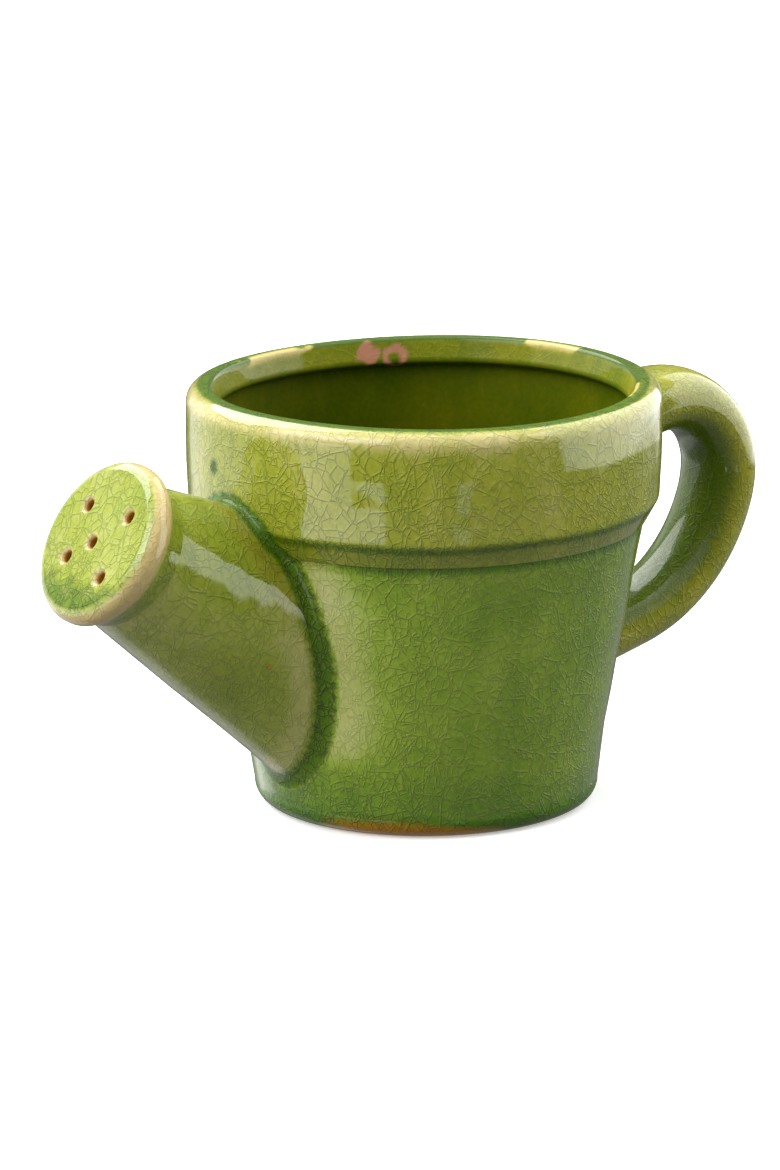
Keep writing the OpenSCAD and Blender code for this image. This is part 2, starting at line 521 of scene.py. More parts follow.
ring_n = 240
ring = np.linspace(0, math.tau, ring_n, endpoint=False)
spout_foot = meet(lambda t: spout_point(ring, t), ring_n)
spout_line = spout_point(ring, spout_foot)


def pooled(p, joint):
    """How full of glaze the hollow round the spout is, by distance to its joint line."""
    wander = 0.35 * np.sin(p[:, 2] * 1.7 + p[:, 1] * 1.1) + 0.2 * np.sin(p[:, 2] * 4.3 + 1.0)
    return 0.96 * ramp(joint + wander, 3.7, 1.7)


def glaze(name, light=0.0, tint=(1.0, 1.0, 1.0), seed=0.0, straw=1.0):
    """Translucent crackle glaze over pale clay, its shade set by light, tint and straw."""
    made = bpy.data.materials.new(name)
    made.use_nodes = True
    made.node_tree.nodes.clear()
    add, join, maths, vector, fade = tree_tools(made.node_tree)

    def mix(share, a, b, way="MIX"):
        inputs = {0: share, 6: a, 7: b}
        return add("ShaderNodeMix", inputs, data_type="RGBA", blend_type=way).outputs[2]

    def coat(key):
        return add("ShaderNodeAttribute", attribute_name=key).outputs["Fac"]

    def noise(scale, detail=3.0, rough=0.5, bend=0.0, offset=0.0):
        inputs = {"Vector": vector("ADD", place, (offset, offset * 0.7, -offset))}
        inputs |= {"Scale": scale, "Detail": detail, "Roughness": rough, "Distortion": bend}
        return add("ShaderNodeTexNoise", inputs)

    place = add("ShaderNodeTexCoord").outputs["Object"]
    pool, thin, bare, painted_shade = coat("pool"), coat("thin"), coat("bare"), coat("painted_shade")

    # craze lines: each finer net starts afresh in every cell of the coarser one,
    # so its lines end in T-joints on the older cracks
    sway = noise(85.0, 1.0, 0.5).outputs["Color"]
    swayed = vector("SCALE", vector("ADD", sway, (-0.5, -0.5, -0.5)), 0.0022)
    warped = vector("ADD", place, swayed)
    start = vector("ADD", warped, (seed, seed * 0.37, -seed * 0.61))
    tall = vector("MULTIPLY", start, (1.0, 1.0, 0.78))

    def net(at, scale, width):
        inputs = {"Vector": at, "Scale": scale, "Randomness": 1.0}
        edges = add("ShaderNodeTexVoronoi", inputs, feature="DISTANCE_TO_EDGE")
        edge = edges.outputs["Distance"]
        cell = add("ShaderNodeTexVoronoi", inputs, feature="F1").outputs["Color"]
        line = fade(edge, 0.0, width * scale, 1.0, 0.0)
        # painted highlight: a wider lightened band along each line stands in for light catching the
        # raised crack edges
        highlight_flank = fade(edge, 0.0, 1.8 * width * scale, 1.0, 0.0)
        return line, highlight_flank, vector("ADD", at, vector("SCALE", cell, 0.9))

    old, old_highlight_flank, second = net(tall, 170.0, 0.00018)
    mid, mid_highlight_flank, third = net(second, 330.0, 0.00016)
    fine, fine_highlight_flank, _ = net(third, 580.0, 0.00013)
    broken = noise(300.0, 1.0, 0.5, 0.0, 0.4).outputs["Fac"]
    patchy = noise(45.0, 2.0, 0.6, 0.0, 1.3).outputs["Fac"]
    far_net = fade(maths("ADD", maths("MULTIPLY", pool, 0.45), patchy), 0.36, 0.54)
    shown = (
        fade(broken, 0.24, 0.36),
        maths("MULTIPLY", fade(broken, 0.31, 0.43), 0.95),
        maths("MULTIPLY", maths("MULTIPLY", far_net, fade(broken, 0.34, 0.50)), 0.85),
    )
    crack, highlight_flank = 0.0, 0.0
    nets = ((old, old_highlight_flank), (mid, mid_highlight_flank), (fine, fine_highlight_flank))
    for (lines, sides), show in zip(nets, shown):
        crack = maths("MAXIMUM", crack, maths("MULTIPLY", lines, show))
        highlight_flank = maths("MAXIMUM", highlight_flank, maths("MULTIPLY", sides, show))
    sunk = maths("MAXIMUM", bare, maths("MULTIPLY", painted_shade, 1.6), clamp=True)
    sunk = maths("MAXIMUM", sunk, maths("MULTIPLY", thin, 0.75))
    crack = maths("MULTIPLY", crack, maths("SUBTRACT", 1.0, sunk))
    highlight_flank = maths("MULTIPLY", highlight_flank, maths("SUBTRACT", 1.0, sunk))

    # depth of the glaze: slow clouds, runs down the wall, and fine speckle
    cloud = noise(38.0, 4.0, 0.6, 0.3, 2.0).outputs["Fac"]
    flow = vector("MULTIPLY", place, (1.0, 1.0, 0.22))
    runs = add(
        "ShaderNodeTexNoise",
        {"Vector": flow, "Scale": 120.0, "Detail": 3.0, "Roughness": 0.6},
    ).outputs["Fac"]
    speck = noise(900.0, 2.0, 0.6, 0.0, 3.0).outputs["Fac"]
    depth = 0.0
    for pattern, share in ((cloud, 0.50), (runs, 0.32), (speck, 0.30)):
        depth = maths("ADD", depth, maths("MULTIPLY", maths("SUBTRACT", pattern, 0.5), share))
    depth = maths("ADD", depth, 0.48 - 0.34 * light)
    depth = maths("ADD", depth, maths("MULTIPLY", pool, 0.42 + 0.30 * light))
    depth = maths("SUBTRACT", depth, maths("MULTIPLY", thin, 0.42))
    depth = maths("ADD", depth, maths("MULTIPLY", painted_shade, 0.50), clamp=True)
    shades = add("ShaderNodeValToRGB", {0: depth})
    stops = shades.color_ramp.elements
    stops[0].position, stops[0].color = 0.0, (0.600, 0.580, 0.290, 1)
    stops[1].position, stops[1].color = 1.0, (0.054, 0.138, 0.0004, 1)
    for at, rgb in (
        (0.16, (0.465, 0.495, 0.130)),
        (0.34, (0.330, 0.395, 0.030)),
        (0.52, (0.215, 0.295, 0.008)),
        (0.72, (0.115, 0.205, 0.002)),
        (0.88, (0.074, 0.168, 0.001)),
    ):
        stops.new(at).color = (*rgb, 1)
    body = shades.outputs[0]
    body = mix(1.0, body, (*tint, 1.0), "MULTIPLY")
    # painted shade: a coat set on each piece (inside the pot, under it, and on faces turned to it)
    # darkens the glaze and turns it olive
    body = mix(painted_shade, body, mix(1.0, body, (0.93, 0.66, 0.4, 1.0), "MULTIPLY"))

    # thin edges let the buff clay through
    clay = mix(
        cloud,
        (0.66, 0.36 + 0.20 * straw, 0.10 + 0.09 * straw, 1),
        (0.80, 0.54 + 0.16 * straw, 0.19 + 0.13 * straw, 1),
    )
    show = maths("MULTIPLY", fade(thin, 0.25, 1.0), 0.65)
    body = mix(show, body, clay)
    # painted highlight: the colour is lightened along the flanks of the craze lines
    body = mix(
        maths("MULTIPLY", highlight_flank, 0.55), body, mix(0.30, body, (0.55, 0.62, 0.14, 1))
    )
    cut = mix(0.45, body, (0.10, 0.16, 0.001, 1))
    cut = mix(pool, cut, (0.028, 0.078, 0.0005, 1))
    body = mix(maths("MULTIPLY", crack, fade(pool, 0.0, 0.8, 0.72, 0.97)), body, cut)
    bared = mix(
        noise(500.0, 3.0, 0.6, 0.0, 5.0).outputs["Fac"],
        (0.30, 0.120, 0.012, 1),
        (0.50, 0.24, 0.040, 1),
    )
    body = mix(bare, body, bared)
    body = mix(coat("amber"), body, (0.42, 0.165, 0.002, 1))
    body = mix(coat("rose_smear"), body, (0.66, 0.25, 0.19, 1))

    # surface: the clear top of the glaze only waves slowly, while the craze
    # lines stand in relief below it
    wave = noise(46.0, 2.5, 0.45, 0.0, 6.0).outputs["Fac"]
    peel = noise(420.0, 2.0, 0.5, 0.0, 7.0).outputs["Fac"]
    height = maths("MULTIPLY", wave, 0.0006)
    top = add("ShaderNodeBump", {"Height": height, "Strength": 1.0, "Distance": 1.0})
    low = maths("MULTIPLY", peel, 0.00003)
    low = maths("ADD", low, maths("MULTIPLY", crack, 0.00014))
    low = maths("ADD", low, maths("MULTIPLY", highlight_flank, 0.00007))
    low = maths("ADD", low, height)
    relief = add("ShaderNodeBump", {"Height": low, "Strength": 1.0, "Distance": 1.0})
    dry = maths("MAXIMUM", bare, maths("MULTIPLY", painted_shade, 1.2), clamp=True)
    dry = maths("MAXIMUM", dry, fade(pool, 0.45, 0.90, 0.0, 0.58))
    gloss = add(
        "ShaderNodeBsdfPrincipled",
        {
            "Base Color": body,
            "Normal": relief.outputs[0],
            "Roughness": 0.45,
            "IOR": 1.45,
            "Specular IOR Level": 0.12,
            "Coat Weight": maths("SUBTRACT", 1.0, dry),
            "Coat Roughness": 0.02,
            "Coat IOR": 1.56,
            "Coat Normal": top.outputs[0],
        },
    )
    add("ShaderNodeOutputMaterial", {"Surface": gloss.outputs[0]})
    return made


body_glaze = glaze("green_crackle_body", light=0.03, tint=(0.90, 1.08, 1.0))

wall_outline = np.vstack(
    [
        foot_arc(foot_split, math.pi / 2, 14),
        [[body_radius(z), z] for z in np.linspace(foot_round + 0.9, band_z, 76)],
        [[body_r - wall_t, band_z]],
        [
            [floor_r + (body_r - wall_t - floor_r) * t, floor_z + (band_z - floor_z) * t]
            for t in np.linspace(0.985, 0.0, 56)
        ],
        [[floor_r, foot_z]],
    ]
)


def port_tree(middle, radius, length):
    """Geometry nodes that pierce a wall with one round port along +X."""
    tree, given = geometry_tree(
        "pierce_port",
        (
            ("Wall", "Geometry", None),
            ("Radius", "Float", radius),
            ("Length", "Float", length),
            ("Height", "Float", middle),
            ("Glaze", "Material", None),
        ),
    )
    add, join, maths, vector, fade = tree_tools(tree)
    core = add(
        "GeometryNodeMeshCylinder",
        {"Vertices": 64, "Radius": given["Radius"], "Depth": given["Length"]},
    )
    along = add(
        "ShaderNodeCombineXYZ",
        {"X": maths("MULTIPLY", given["Length"], 0.5), "Z": given["Height"]},
    )
    laid = add(
        "GeometryNodeTransform",
        {
            "Geometry": core.outputs[0],
            "Translation": along.outputs[0],
            "Rotation": (0.0, math.pi / 2, 0.0),
        },
    )
    cut = add(
        "GeometryNodeMeshBoolean",
        {"Mesh 1": given["Wall"], "Mesh 2": laid.outputs[0]},
        operation="DIFFERENCE",
        solver="MANIFOLD",
    )
    return finish_tree(tree, cut.outputs[0], given["Glaze"])


wall_mesh = thrown("pot_wall_turned", wall_outline, 288, body_glaze)
port_height, port_r, port_reach = floor_z + 30.0, 9.0, 90.0
wall_mesh = run_tree(
    "pot_body",
    wall_mesh,
    port_tree(port_height * MM, port_r * MM, port_reach * MM),
    {"Glaze": body_glaze},
)
p = mesh_points(wall_mesh)
out_side = ramp(np.hypot(p[:, 0], p[:, 1]), pot_radius(p[:, 2]) - 2.5, pot_radius(p[:, 2]) - 1.5)
turn = np.arctan2(p[:, 1], p[:, 0])
joint = near_line(p, spout_line)
uneven = 1.2 * np.sin(turn * 3 + 0.5) + 0.8 * np.sin(turn * 7 + 2)
# darker towards the foot: glaze pooled there, with painted shade near the table
foot_pool_and_shade = ramp(p[:, 2], 8.5 + uneven, 3.5)
coats = {
    "pool": np.maximum.reduce(
        [
            foot_pool_and_shade,
            # pooled glaze and painted shade: the lower wall darkens towards the table
            0.40 * ramp(p[:, 2], 24.0, 6.0),
            # painted shade: a stretch of wall on the handle's side, away from the brighter windows,
            # is darkened
            0.26 * ramp(turn, 1.0, 1.9) * ramp(turn, 3.2, 2.6),
            # darker just under the band: glaze pooled against it, with painted shade under the
            # band's overhang
            0.75 * ramp(p[:, 2], band_z - 3.0, band_z - 0.6),
            pooled(p, joint),
            0.6 * ramp(joint, 12.0, 3.0) * ramp(p[:, 2], 26.0, 10.0),
        ]
    )
    * out_side,
    # lighter round the spout's joint: partly thin glaze showing the clay, partly painted light on
    # the window-lit side
    "thin": 0.66
    * ramp(joint, 23.0, 6.0)
    * ramp(joint, 2.8, 4.0)
    * ramp(p[:, 2], 10.0, 26.0)
    * out_side,
    # painted shade: the inside of the wall is darkened and turned olive
    "painted_shade": 0.72 * (1 - out_side),
    "amber": 0.85
    * ramp(np.cos(turn - amber_turn), 0.82, 0.96)
    * ramp(p[:, 2], 5.0 + uneven, 2.2)
    * out_side,
}
fire("pot_body", wall_mesh, coats, "pot_wall")

# ---------------------------------------------------------------------------
# Floor and foot ring: the floor is a glazed disc with a soft corner up to the
# wall. The foot ring below it was wiped clean of glaze, so its rim is toasted
# amber where the last of the glaze ran down to it.
# ---------------------------------------------------------------------------
floor_outline = rounded(
    [
        (0.0, foot_z, 0),
        (floor_r, foot_z, 0),
        (floor_r, floor_z + 2.6, 0),
        (floor_r - 0.25, floor_z + 2.6, 0.1),
        (floor_r - 0.6, floor_z, 2.4),
        (0.0, floor_z + 0.2, 0),
    ],
    step=1.4,
)
floor_mesh = thrown("pot_floor", floor_outline, 192, body_glaze)
p = mesh_points(floor_mesh)
coats = {
    "pool": 0.4 * ramp(np.hypot(p[:, 0], p[:, 1]), 20, 38),
    # painted shade: the floor, down inside the pot, is darkened
    "painted_shade": np.full(len(p), 0.8),
}
fire("pot_bottom", floor_mesh, coats, "pot_floor")

foot_in = foot_r - foot_round - 5.0
foot_outline = np.array(
    [(foot_in, 0.0)]
    + [(foot_in + 1.3 * k, 0.0) for k in (1, 2, 3)]
    + foot_arc(0.0, foot_split, 10)
    + [(foot_in, foot_z)]
)
foot_mesh = thrown("foot", foot_outline, 288, body_glaze)
p = mesh_points(foot_mesh)
reach = np.hypot(p[:, 0], p[:, 1])
turn = np.arctan2(p[:, 1], p[:, 0])
amber = ramp(np.cos(turn - amber_turn), 0.80, 0.96)
coats = {
    "pool": 0.95 * ramp(reach, foot_r - 4.6, foot_r - 1.5) * (1 - amber),
    # painted shade: the foot ring under the pot is darkened away from the amber stretch
    "painted_shade": 0.2 * (1 - amber),
    "bare": ramp(reach, foot_r - 2.8, foot_r - 4.4),
    "amber": 0.9 * amber,
}
fire("foot", foot_mesh, coats, "foot_ring")

# ---------------------------------------------------------------------------
# Rim band: a thick collar of clay luted round the pot's top. Its lower edge is
# bevelled, its rim is rounded, and a lip leans in over the hollow behind it.
# Glaze ran thin on its edges and pooled on its flat top.
# ---------------------------------------------------------------------------
band_glaze = glaze("green_crackle_band", light=0.44, tint=(1.08, 0.97, 0.95), seed=0.31, straw=0.7)
inner_r = rim_r - wall_t
pinhole = (59.3, -6.4, 91.4)
smear, smear_ring = (-17.8, -48.6, 103.2), (-24.2, -46.0, 101.6)
band_outline = rounded(
    [
        (body_r - wall_t, band_z, 0),
        *band_corners,
        (rim_r - 6.5, rim_z, 1.3),
        (rim_r - 8.2, rim_z - 6.3, 0.8),
        (inner_r, rim_z - 7.8, 1.2),
        (inner_r - 0.3, band_z + 6.1, 4.0),
    ],
    step=0.8,
)
band_mesh = thrown("rim", band_outline, 480, band_glaze)
p = mesh_points(band_mesh)
reach = np.hypot(p[:, 0], p[:, 1])
turn = np.arctan2(p[:, 1], p[:, 0])
z = p[:, 2]
joint = near_line(p, spout_line)
outer_band = ((z < band_z + 7) & (reach > body_r - 1)) | (reach > rim_r - 3)
wobble = 0.5 * np.sin(turn * 4 + 1) + 0.35 * np.sin(turn * 9 + 2)
flat_edge = reach - 0.4 * wobble
flat_top = ramp(z, rim_z - 1.0, rim_z - 0.3) * ramp(flat_edge, rim_r - 2.4, rim_r - 3.4)
# painted shade: on the handle's side, away from the brighter windows, the band's pale edges are
# toned down
shaded_side = ramp(turn, 1.1, 1.7) * ramp(turn, 3.1, 2.6)
edge_thin = ramp(z, rim_z - 6.5 + wobble, rim_z - 2.6) * ramp(reach, rim_r - 3.0, rim_r - 1.6)
lip_edge = ramp(np.abs(reach - (rim_r - 6.3 + 0.3 * wobble)), 1.2, 0.5)
low_edge = ramp(z, band_z + 2.6, band_z + 0.6) * (reach > body_r - 1.5)
crease = np.exp(-(((z - (band_z + 5.0 + 0.5 * wobble)) / 1.3) ** 2)) * (reach > body_r)
inside = (~outer_band) & (z < rim_z - 5.2)
lip_face = (reach < rim_r - 5.6) & (z >= rim_z - 6.2)
turned = np.degrees(turn) % 360
patches = np.maximum.reduce(
    [
        ramp(
            np.abs(turned - mid) + 2.2 * np.sin(z * 1.7 + turn * 23) + 1.2 * np.sin(turn * 51),
            wide,
            wide - 3,
        )
        for mid, wide in ((281, 13), (196, 9), (134, 8))
    ]
)
coats = {
    "pool": np.maximum.reduce(
        [
            flat_top * (1 - patches * ramp(reach, rim_r - 5.2, rim_r - 5.8)),
            ramp(np.linalg.norm(p - pinhole, axis=1), 2.6, 1.2),
            0.80 * crease,
            0.24 * ramp(z, band_z + 5.4, band_z + 3.6) * (reach > body_r - 1.5),
            pooled(p, joint) * outer_band,
        ]
    ),
    "thin": np.maximum(
        np.maximum(
            0.58 * edge_thin * (1 - flat_top) * (1 - 0.55 * shaded_side),
            0.12 * low_edge,
        ),
        0.9 * patches * lip_edge * ramp(z, rim_z - 2.6, rim_z - 1.5),
    ),
    # painted shade: the band's inside and its lip's inner face are darkened
    "painted_shade": np.where(inside, 0.95, np.where(lip_face, 0.46, 0.0)),
    "rose_smear": np.maximum(
        ramp(
            np.linalg.norm(p - smear, axis=1)
            + 0.5 * np.sin(p[:, 0] * 1.3 + z * 1.1),
            3.6,
            2.3,
        ),
        ramp(
            np.abs(
                np.linalg.norm(p - smear_ring, axis=1)
                - 2.5
                + 0.3 * np.sin(p[:, 0] * 1.3 - z * 1.2)
            ),
            1.2,
            0.4,
        ),
    )
    * (reach < rim_r - 5.0)
    * 0.75,
}
fire("rim", band_mesh, coats, "rim_band")

# ---------------------------------------------------------------------------
# Spout: cast hollow and wide, round at its neck and a tall oval at its root.
# It was trimmed to the pot's curve and luted on, and glaze pooled deep green
# in the hollow of that joint.
# ---------------------------------------------------------------------------
spout_glaze = glaze("green_crackle_spout", light=0.20, tint=(1.0, 1.0, 0.9), seed=0.17)


def shell(name, rings, material):
    """A closed skin through equal rings of points (mm), the last ring joined to the first."""
    count, around = rings.shape[:2]
    mesh = bpy.data.meshes.new(name)
    index = np.arange(count * around).reshape(count, around)
    a = index
    b = np.roll(index, -1, axis=1)
    c = np.roll(b, -1, axis=0)
    d = np.roll(a, -1, axis=0)
    faces = np.stack([a, b, c, d], -1).reshape(-1, 4)
    mesh.from_pydata((rings.reshape(-1, 3) * MM).tolist(), [], faces.tolist())
    mesh.materials.append(material)
    return mesh


fillet = 3.0
lute_sink = 0.6
spout_wall = 4.0
fair = spout_foot + 1.6
steps_down = 84
bare_spot = (61.1, 18.2, 46.5)
share = np.linspace(0, 1, steps_down)
rings = [spout_point(ring, fair * s) for s in share]
inner_end = meet(lambda t: spout_point(ring, t, -spout_wall), ring_n)
rings += [spout_point(ring, (inner_end + 1.0) * s, -spout_wall) for s in share[::-2]]
spout_mesh = outward(shell("spout", np.array(rings), spout_glaze))
p = mesh_points(spout_mesh)
joint = near_line(p, spout_line)
from_neck = (p - neck) @ down_spout
under = (p - neck - np.multiply.outer(from_neck, down_spout)) @ over_spout
coats = {
    "pool": np.maximum.reduce(
        [
            pooled(p, joint),
            0.35 * ramp(from_neck, 6.0, 1.0),
            0.12 * ramp(under, -8.0, -18.0),
        ]
    ),
    "thin": 0.40 * ramp(joint, 15.0, 5.0) * ramp(joint, 3.2, 4.6) * ramp(under, 9.0, 2.0)
    + 0.3 * ramp(from_neck, 9.0, 2.0)
    + 0.22 * ramp(under, 6.0, -6.0),
    "amber": 0.20 * ramp(joint, 12.0, 5.0) * ramp(joint, 3.0, 4.4) * ramp(under, 1.0, 9.0),
    "bare": 0.8 * ramp(np.linalg.norm(p - bare_spot, axis=1), 1.1, 0.4),
}
fire("spout", spout_mesh, coats, "spout_shell")


def fillet_ring(name, on_piece, corner, on_pot, sink, material, n=12):
    """Closed coil that fairs a piece into the pot by a hollow curve from on_piece to on_pot."""
    rows = []
    for k in range(n + 1):
        t = k / n
        rows.append(
            (1 - t) ** 2 * on_piece + 2 * t * (1 - t) * corner + t * t * on_pot
        )
    rows.append(on_pot + sink)
    rows.append(corner + sink * 1.5)
    rows.append(on_piece + sink)
    return outward(shell(name, np.array(rows), material))


def onto_pot(q):
    """Points dropped square onto the pot's outside, by radius."""
    far = np.hypot(q[:, 0], q[:, 1])
    r = pot_radius(q[:, 2])
    out = q.copy()
    out[:, 0] *= r / far
    out[:, 1] *= r / far
    return out


def inwards(line):
    """Level directions from the line's points to the pot's axis."""
    level = -line * np.array([1.0, 1.0, 0.0])
    return level / np.linalg.norm(level, axis=1)[:, None]


def pot_skirt(line, centre, width):
    """The line moved outwards along the pot's skin, away from centre."""
    tangent = np.roll(line, -1, 0) - np.roll(line, 1, 0)
    tangent /= np.linalg.norm(tangent, axis=1)[:, None]
    normal = np.stack([line[:, 0], line[:, 1], 0 * line[:, 2]], -1)
    normal /= np.linalg.norm(normal, axis=1)[:, None]
    side = np.cross(normal, tangent)
    side /= np.linalg.norm(side, axis=1)[:, None]
    sign = np.sign(np.sum(side * (line - centre), axis=1))
    return onto_pot(line + side * sign[:, None] * width)


on_spout = spout_point(ring, spout_foot - fillet)
on_pot = pot_skirt(spout_line, spout_line.mean(0), fillet)
sunk = inwards(spout_line) * lute_sink
lute_mesh = fillet_ring("spout_lute", on_spout, spout_line, on_pot, sunk, spout_glaze)
p = mesh_points(lute_mesh)
joint = near_line(p, spout_line)
fire("spout_lute", lute_mesh, {"pool": pooled(p, joint)}, "spout_luting")

# ---------------------------------------------------------------------------
# Rose: a round collar closes the spout's neck and holds a slightly dished
# plate. Five holes were pushed through it while it was leather hard, and their
# bare walls show the clay.
# ---------------------------------------------------------------------------
rose_glaze = glaze("green_crackle_rose", light=0.47, seed=0.53, straw=0.10)
rose_r = 21.1
rose_len = 8.7
rose_round = 3.5
plate_r = rose_r - rose_round
rose_turn = Matrix.Rotation(math.pi / 2 - spout_tilt, 4, "Y")
at_neck = Matrix.Translation(Vector(neck * MM)) @ rose_turn


def low_pool(local):
    """Glaze that ran down to the low edge of the rose's front, by place in the rose's own axes."""
    mottle = np.sin(local[:, 0] * 0.9 + 1) * np.sin(local[:, 1] * 0.8)
    return 0.80 * ramp(local[:, 0] / plate_r + 0.10 * mottle, 0.45, 0.95)


collar_outline = rounded(
    [
        (neck_r - spout_wall, 0.0, 0),
        (neck_r - 0.6, -5.0, 0),
        (neck_r + 0.1, -4.6, 0),
        (neck_r + 0.9, 0.4, 5.0),
        (rose_r - 0.25, 3.4, 2.2),
        (rose_r, rose_len, rose_round),
        (plate_r, rose_len - 0.15, 0.3),
        (plate_r, rose_len - 4.6, 0),
        (neck_r - spout_wall, rose_len - 4.6, 0),
    ],
    step=0.5,
)
collar_mesh = thrown("rose_collar", collar_outline, 160, rose_glaze)
collar_mesh.transform(at_neck)
p = mesh_points(collar_mesh)
local = (p - neck) @ np.array(rose_turn.to_3x3())
reach = np.hypot(local[:, 0], local[:, 1])
front = local[:, 2]
coats = {
    "pool": low_pool(local)
    * ramp(reach, plate_r + 1.4, plate_r + 0.4)
    * ramp(front, 6.0, 7.5)
    + 0.14 * ramp(front, 0.8, -1.2),
    "thin": 0.85 * ramp(reach, plate_r + 1.2, rose_r - 0.6) * ramp(front, -0.5, 2.0),
}
fire("collar", collar_mesh, coats, "rose_collar")


def pierce_tree():
    """Geometry nodes that push one tapered punch through a plate at every point of "Marks"."""
    tree, given = geometry_tree(
        "pierce_rose",
        (
            ("Plate", "Geometry", None),
            ("Marks", "Object", None),
            ("Punch", "Object", None),
            ("Glaze", "Material", None),
        ),
    )
    add, join, maths, vector, fade = tree_tools(tree)
    marks = add("GeometryNodeObjectInfo", {"Object": given["Marks"]})
    punch = add("GeometryNodeObjectInfo", {"Object": given["Punch"]})
    placed = add(
        "GeometryNodeInstanceOnPoints",
        {
            "Points": marks.outputs["Geometry"],
            "Instance": punch.outputs["Geometry"],
        },
    )
    solid = add("GeometryNodeRealizeInstances", {"Geometry": placed.outputs[0]})
    cut = add(
        "GeometryNodeMeshBoolean",
        {"Mesh 1": given["Plate"], "Mesh 2": solid.outputs[0]},
        operation="DIFFERENCE",
        solver="MANIFOLD",
    )
    return finish_tree(tree, cut.outputs[0], given["Glaze"])


holes = np.array([(7.3, -8.6), (7.6, 8.6), (-1.0, -1.0), (-6.2, -8.2), (-8.5, 8.0)])
face_z = rose_len - 0.5
plate_outline = rounded(
    [
        (0.0, face_z - 4.0, 0),
        (plate_r, face_z - 4.0, 0),
        (plate_r, face_z + 0.35, 0),
        (plate_r - 4.0, face_z + 0.34, 8.0),
        (0.0, face_z + 0.10, 0),
    ],
    step=0.45,
)
plate_mesh = thrown("rose_plate", plate_outline, 144, rose_glaze)
punch_outline = rounded(
    [
        (0.0, face_z - 6.0, 0),
        (1.45, face_z - 6.0, 0),
        (1.4, face_z - 1.0, 0.8),
        (1.75, face_z - 0.25, 0.6),
        (2.9, face_z + 0.75, 0),
        (0.0, face_z + 0.9, 0),
    ],
    step=0.25,
)
punch_mesh = thrown("punch", punch_outline, 40, rose_glaze)
punch = bpy.data.objects.new("punch", punch_mesh)
bpy.context.collection.objects.link(punch)
marks_mesh = bpy.data.meshes.new("marks")
marks_mesh.from_pydata([(-a * MM, b * MM, 0.0) for a, b in holes], [], [])
marks = bpy.data.objects.new("marks", marks_mesh)
bpy.context.collection.objects.link(marks)
plate_mesh = run_tree(
    "rose_plate",
    plate_mesh,
    pierce_tree(),
    {"Marks": marks, "Punch": punch, "Glaze": rose_glaze},
)
bpy.data.objects.remove(punch)
bpy.data.objects.remove(marks)
local = mesh_points(plate_mesh)
plate_mesh.transform(at_neck)
outward(plate_mesh)
gap = np.min(
    [np.hypot(local[:, 0] + a, local[:, 1] - b) for a, b in holes], axis=0
)
coats = {
    "pool": low_pool(local) - ramp(gap, 3.4, 1.8),
    "thin": 0.75 * ramp(gap, 2.9, 1.7),
    "bare": ramp(gap, 1.75, 1.55) * ramp(local[:, 2], face_z - 0.5, face_z - 0.8),
}
fire("rose_face", plate_mesh, coats, "rose_plate")

# ---------------------------------------------------------------------------
# Handle: a thick oval strap, pulled by hand so that it thins on its way down,
# bent into an ear and luted to the band and to the lower wall. Glaze slid off
# its back and gathered on its inner side.
# ---------------------------------------------------------------------------
handle_glaze = glaze("green_crackle_handle", light=0.13, tint=(1.22, 0.97, 0.9), seed=0.71)
strap_t, strap_w, strap_taper = 17.1, 24.8, 0.12
strap_fillet = 2.6
bends = ((20.0, 139.9), (27.1, 14.9), (43.1, 56.5))
spot = np.array([rim_r - 1.0, rim_z - 20.7])
heading = math.radians(46.7)
path = [
    (*(spot - s * np.array([math.cos(heading), math.sin(heading)])), heading)
    for s in (13.0, 10.0, 7.0, 4.5, 2.0)
]
for radius, degrees in bends:
    sweep = math.radians(degrees)
    centre = spot + radius * np.array([math.sin(heading), -math.cos(heading)])
    count = max(3, int(radius * sweep / 1.2))
    for k in range(count):
        a = heading - sweep * k / count
        path.append(
            (*(centre + radius * np.array([-math.sin(a), math.cos(a)])), a)
        )
    heading -= sweep
    spot = centre + radius * np.array([-math.sin(heading), math.cos(heading)])
tail = (spot[0] - body_radius(spot[1]) + wall_t - 1.0) / -math.cos(heading)
for s in np.linspace(0, tail, 12):
    path.append(
        (*(spot + s * np.array([math.cos(heading), math.sin(heading)])), heading)
    )
path = np.array(path)
along = np.concatenate([[0], np.cumsum(np.hypot(*np.diff(path[:, :2], axis=0).T))])
along /= along[-1]


